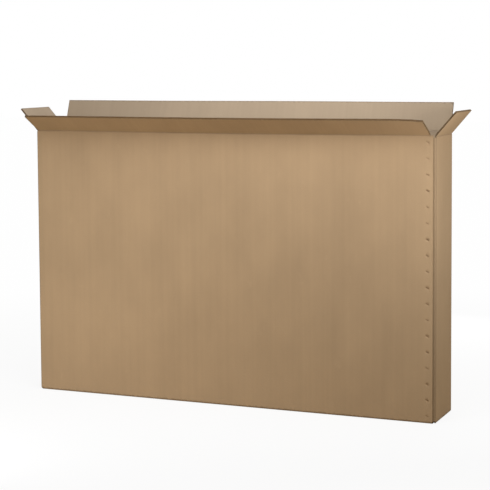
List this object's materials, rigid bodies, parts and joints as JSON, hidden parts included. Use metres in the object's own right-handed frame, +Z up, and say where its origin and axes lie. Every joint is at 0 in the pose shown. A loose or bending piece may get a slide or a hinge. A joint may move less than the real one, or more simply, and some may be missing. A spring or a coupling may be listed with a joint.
{
  "type": "bicycle shipping box",
  "caption": "Tall narrow slotted carton in double-wall corrugated board, wire-stitched up one corner, taped underneath, with hinged top flaps standing open.",
  "frame": {"origin": "centre of the underside, on the tape along the bottom seam, where the box stands on the floor", "axes": "+Z up, +X along the long side towards the end beside the stitched joint, -Y towards the front panel that the stitches go through"},
  "size_m": [2.0776, 0.4234, 1.3445],
  "materials": {
    "kraft_board": "matte",
    "kraft_tape": "satin",
    "stitching_wire": "satin"
  },
  "bodies": {
    "box": {"carton": "kraft_board", "bottom_tape": "kraft_tape", "stitch_01": "stitching_wire", "stitch_02": "stitching_wire", "stitch_03": "stitching_wire", "stitch_04": "stitching_wire", "stitch_05": "stitching_wire", "stitch_06": "stitching_wire", "stitch_07": "stitching_wire", "stitch_08": "stitching_wire", "stitch_09": "stitching_wire", "stitch_10": "stitching_wire", "stitch_11": "stitching_wire", "stitch_12": "stitching_wire", "stitch_13": "stitching_wire", "stitch_14": "stitching_wire", "stitch_15": "stitching_wire", "stitch_16": "stitching_wire", "stitch_17": "stitching_wire", "stitch_18": "stitching_wire"},
    "front_flap": {"front_flap": "kraft_board"},
    "right_flap": {"right_flap": "kraft_board"},
    "back_flap": {"back_flap": "kraft_board"},
    "left_flap": {"left_flap": "kraft_board"}
  },
  "joints": [
    {"name": "front_flap_fold", "type": "hinge", "parent": "box", "child": "front_flap", "pos_m": [0, -0.132, 1.21905], "axis": [1, 0, 0], "range_deg": [-151, 109]},
    {"name": "right_flap_fold", "type": "hinge", "parent": "box", "child": "right_flap", "pos_m": [0.952, 0, 1.21165], "axis": [0, 1, 0], "range_deg": [-131, 129]},
    {"name": "back_flap_fold", "type": "hinge", "parent": "box", "child": "back_flap", "pos_m": [0, 0.132, 1.21905], "axis": [-1, 0, 0], "range_deg": [-110, 150]},
    {"name": "left_flap_fold", "type": "hinge", "parent": "box", "child": "left_flap", "pos_m": [-0.952, 0, 1.21165], "axis": [0, -1, 0], "range_deg": [-132, 128]}
  ]
}
